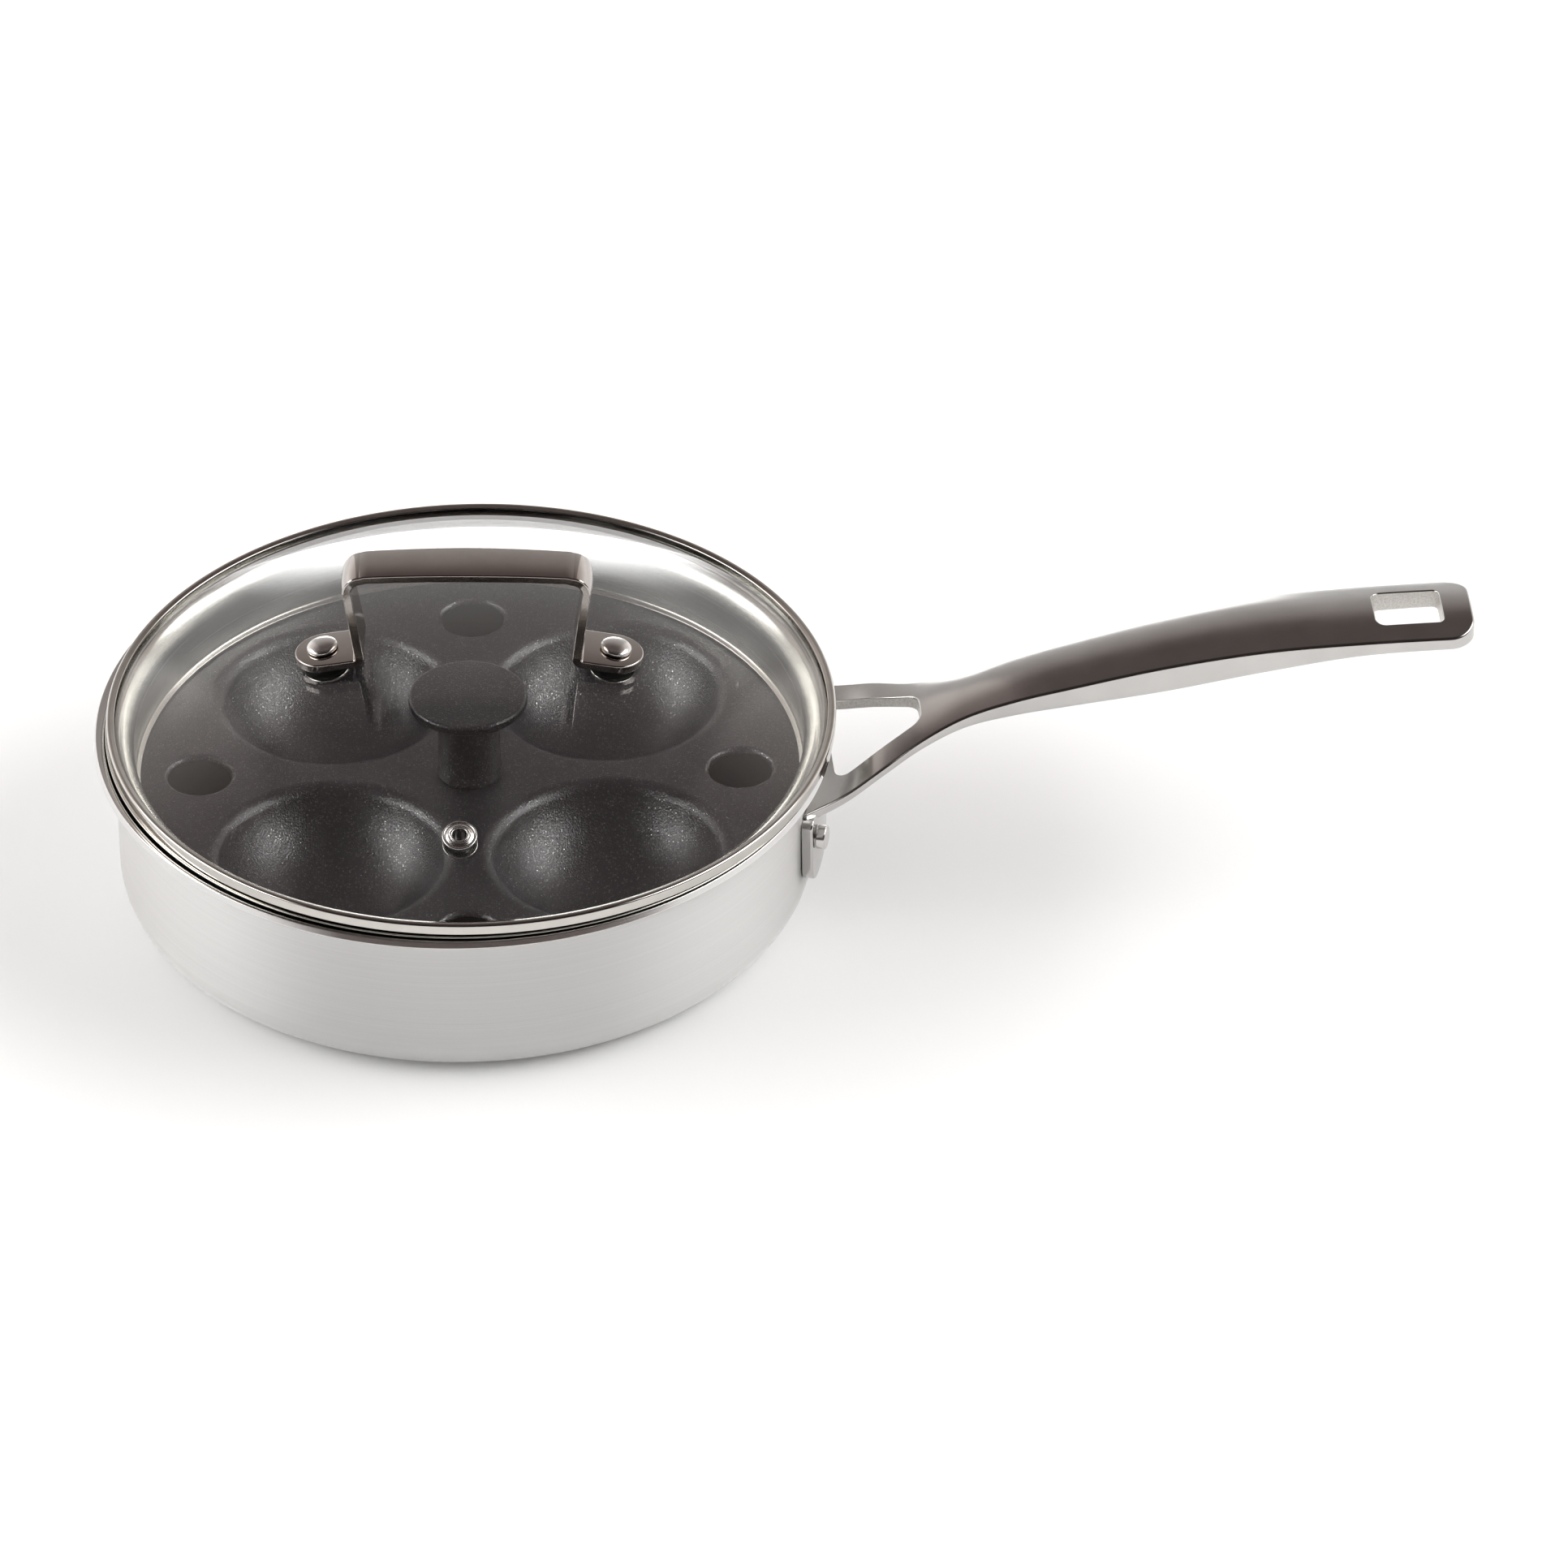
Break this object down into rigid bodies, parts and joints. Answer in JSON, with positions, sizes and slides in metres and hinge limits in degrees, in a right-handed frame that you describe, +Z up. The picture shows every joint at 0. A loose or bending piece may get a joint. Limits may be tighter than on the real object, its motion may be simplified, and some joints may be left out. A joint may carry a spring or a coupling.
{
  "type": "egg poacher pan",
  "caption": "Low stainless pan with a forked long handle, a lift-out egg cup insert with a central knob, and a domed glass lid with a bow handle.",
  "frame": {"origin": "middle of the flat underside of the pan's base, on the surface it stands on", "axes": "+Z up, +X toward the long handle, which leaves the pan 5 degrees round from +X toward +Y"},
  "size_m": [0.4145, 0.222, 0.114],
  "materials": {
    "satin_steel": "satin steel with fine turning lines",
    "polished_cast_steel": "polished casting with rough inner faces",
    "bright_steel": "mirror polished stainless steel",
    "speckled_coating": "dark speckled non-stick coating",
    "tempered_glass": "clear tempered glass",
    "dark_silicone": "matte dark silicone"
  },
  "bodies": {
    "pan": {"pan_body": "satin_steel", "long_handle": "polished_cast_steel", "handle_rivet_front": "bright_steel", "handle_rivet_rear": "bright_steel"},
    "insert": {"insert_ring": "bright_steel", "egg_tray": "speckled_coating", "tray_knob": "speckled_coating", "knob_washer": "bright_steel", "knob_screw": "bright_steel"},
    "lid": {"lid_glass": "tempered_glass", "lid_band": "bright_steel", "lid_handle": "bright_steel", "lid_rivet_left": "bright_steel", "lid_rivet_right": "bright_steel", "foot_pad_left": "dark_silicone", "foot_pad_right": "dark_silicone", "rivet_bush_left": "dark_silicone", "rivet_bush_right": "dark_silicone", "inner_washer_left": "bright_steel", "inner_washer_right": "bright_steel", "steam_vent_eyelet": "bright_steel", "steam_vent_seal": "dark_silicone"}
  },
  "joints": [
    {"name": "insert_lift", "type": "slide", "parent": "pan", "child": "insert", "axis": [0, 0, 1], "range_m": [0, 0.06]},
    {"name": "lid_lift", "type": "slide", "parent": "insert", "child": "lid", "axis": [0, 0, 1], "range_m": [0, 0.06]}
  ]
}
